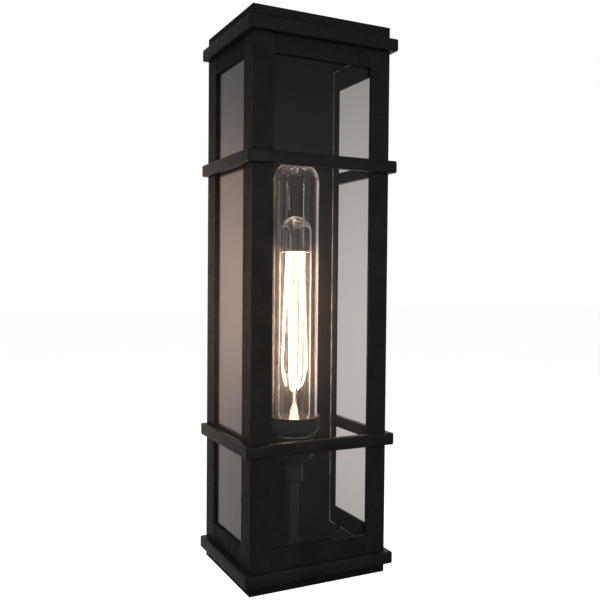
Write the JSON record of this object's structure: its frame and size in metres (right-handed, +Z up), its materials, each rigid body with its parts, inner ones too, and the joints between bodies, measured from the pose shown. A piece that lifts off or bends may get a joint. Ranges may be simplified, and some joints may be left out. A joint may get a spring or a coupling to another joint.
{
  "type": "outdoor wall lantern",
  "caption": "Tall square wall lantern with a black iron frame, clear panes, outside hoops and a tubular filament lamp under a domed glass chimney.",
  "frame": {"origin": "centre of the wall bracket on the wall plane, at the middle of the lantern's height", "axes": "+X to the right seen from the front, +Y into the wall, +Z up"},
  "size_m": [0.149, 0.1175, 0.517],
  "materials": {
    "iron": "black satin powder coat with a fine texture",
    "roof_iron": "black satin powder coat with a fine texture",
    "pane": "clear polished glass",
    "chimney_glass": "clear blown glass",
    "lamp_glass": "clear thin glass",
    "bronze": "dark bronze satin paint",
    "porcelain": "glazed white",
    "brass": "plain brass",
    "zinc": "zinc plated",
    "insulator": "black glass insulator",
    "mica": "thin translucent mica",
    "filament": "glowing coiled wire",
    "silicone": "grey silicone",
    "black_rubber": "black rubber",
    "plastic": "ivory moulded plastic",
    "green_screw": "green plated",
    "wire_black": "insulation",
    "wire_white": "insulation",
    "wire_green": "insulation"
  },
  "bodies": {
    "frame": {"post_front_left": "iron", "post_front_right": "iron", "post_rear_left": "iron", "post_rear_right": "iron", "top_rails": "iron", "bottom_rails": "iron", "hoop_top": "iron", "hoop_upper": "iron", "hoop_lower": "iron", "hoop_bottom": "iron", "base_tray": "iron", "floor_plate": "iron", "back_panel": "iron", "panel_spacer_left": "iron", "panel_spacer_right": "iron", "pane_front": "pane", "pane_left": "pane", "pane_right": "pane", "pane_clips": "iron", "corner_lugs": "iron", "base_screws": "zinc", "stud_tabs": "iron", "roof_studs": "zinc", "wall_bracket": "zinc", "mounting_studs": "zinc", "cap_nuts": "iron", "riser_tube": "bronze", "riser_nuts": "bronze", "riser_washers": "zinc", "riser_bushing": "black_rubber", "socket_collar": "bronze", "socket_holder": "bronze", "cup": "bronze", "socket_body": "porcelain", "socket_shell": "brass", "shell_tab": "brass", "centre_contact": "brass", "chimney_gasket": "silicone", "terminal_block": "plastic", "terminal_screws": "brass", "ground_screw": "green_screw", "wire_line": "wire_black", "wire_neutral": "wire_white", "wire_ground": "wire_green"},
    "roof": {"roof": "roof_iron", "seal_washers": "black_rubber"},
    "thumb_nut_left": {"thumb_nut_left": "iron"},
    "thumb_nut_right": {"thumb_nut_right": "iron"},
    "chimney": {"chimney": "chimney_glass"},
    "lamp_tip": {"lamp_contact": "zinc"},
    "lamp": {"lamp_glass": "lamp_glass", "lamp_cap": "brass", "lamp_insulator": "insulator", "lamp_stem": "lamp_glass", "mica_disc": "mica", "filament_supports": "zinc", "filament": "filament"}
  },
  "joints": [
    {"name": "roof_lift", "type": "slide", "parent": "frame", "child": "roof", "axis": [0, 0, 1], "range_m": [0, 0.06]},
    {"name": "left_nut_turn", "type": "hinge", "parent": "roof", "child": "thumb_nut_left", "pos_m": [-0.0515, -0.05575, 0.255], "axis": [0, 0, 1], "continuous": true},
    {"name": "right_nut_turn", "type": "hinge", "parent": "roof", "child": "thumb_nut_right", "pos_m": [0.0515, -0.05575, 0.255], "axis": [0, 0, 1], "continuous": true},
    {"name": "chimney_lift", "type": "slide", "parent": "frame", "child": "chimney", "axis": [0, 0, 1], "range_m": [0, 0.09]},
    {"name": "lamp_rise", "type": "slide", "parent": "frame", "child": "lamp_tip", "axis": [0, 0, 1], "range_m": [0, 0.01815]},
    {"name": "lamp_turn", "type": "hinge", "parent": "lamp_tip", "child": "lamp", "pos_m": [0, -0.05575, -0.144], "axis": [0, 0, 1], "range_deg": [-1, 1801]}
  ],
  "couplings": [
    {"joint": "lamp_turn", "follows": "lamp_rise", "rad_per_m": 1730.9}
  ]
}
